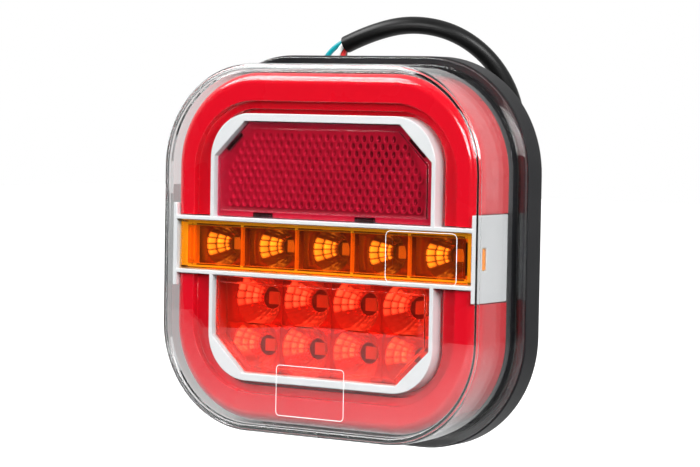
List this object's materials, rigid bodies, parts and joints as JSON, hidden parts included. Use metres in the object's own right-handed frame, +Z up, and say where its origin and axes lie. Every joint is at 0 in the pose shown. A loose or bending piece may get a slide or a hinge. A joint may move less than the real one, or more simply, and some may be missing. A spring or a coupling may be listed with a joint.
{
  "type": "trailer tail light",
  "caption": "Square rear combination lamp with a clear rounded cover, red tail ring, amber indicator bar, stop window, reflector, rear studs and a short cable tail.",
  "frame": {"origin": "centre of the flat back face that lies on the mounting panel", "axes": "+Y backwards into the panel along the studs, -Y forwards through the lens, +Z up, +X right seen from the front"},
  "size_m": [0.1102, 0.0761, 0.12],
  "materials": {
    "black_plastic": "fine matt moulded texture",
    "black_rubber": "matt rubber",
    "clear_plastic": "clear polished polycarbonate",
    "white_plastic": "smooth satin white",
    "red_diffuser": "glossy translucent red",
    "red_lens": "polished transparent red",
    "amber_lens": "polished transparent amber",
    "metallised": "vacuum-metallised plastic",
    "board": "white solder mask",
    "led_body": "white LED package with a phosphor face",
    "component_black": "moulded electronic package",
    "component_metal": "aluminium can",
    "steel_zinc": "zinc-plated steel",
    "resin": "cured potting resin",
    "cable_pvc": "matt black PVC jacket",
    "wire_green": "PVC insulation",
    "wire_white": "PVC insulation",
    "wire_red": "PVC insulation",
    "wire_brown": "PVC insulation",
    "copper": "bare stranded copper"
  },
  "bodies": {
    "root": {"housing_base": "black_plastic", "perimeter_gasket": "black_rubber", "clear_lens": "clear_plastic", "bezel_frame": "white_plastic", "tail_guide_upper": "red_diffuser", "tail_guide_lower": "red_diffuser", "indicator_lens": "amber_lens", "indicator_reflector": "metallised", "stop_lens": "red_lens", "stop_reflector": "metallised", "retro_reflector": "red_lens", "retro_backing": "black_plastic", "circuit_board": "board", "stop_leds": "led_body", "indicator_leds": "led_body", "tail_leds": "led_body", "board_screws": "steel_zinc", "driver_chips": "component_black", "resistors": "component_black", "diodes": "component_black", "capacitor": "component_metal", "mounting_studs": "steel_zinc", "cable_grommet": "black_rubber", "cable_potting": "resin", "cable_inner": "cable_pvc", "lead_green": "wire_green", "lead_white": "wire_white", "lead_red": "wire_red", "lead_brown": "wire_brown", "cable_jacket": "cable_pvc", "wire_green": "wire_green", "wire_white": "wire_white", "wire_red": "wire_red", "wire_brown": "wire_brown", "wire_tips": "copper"}
  },
  "joints": []
}
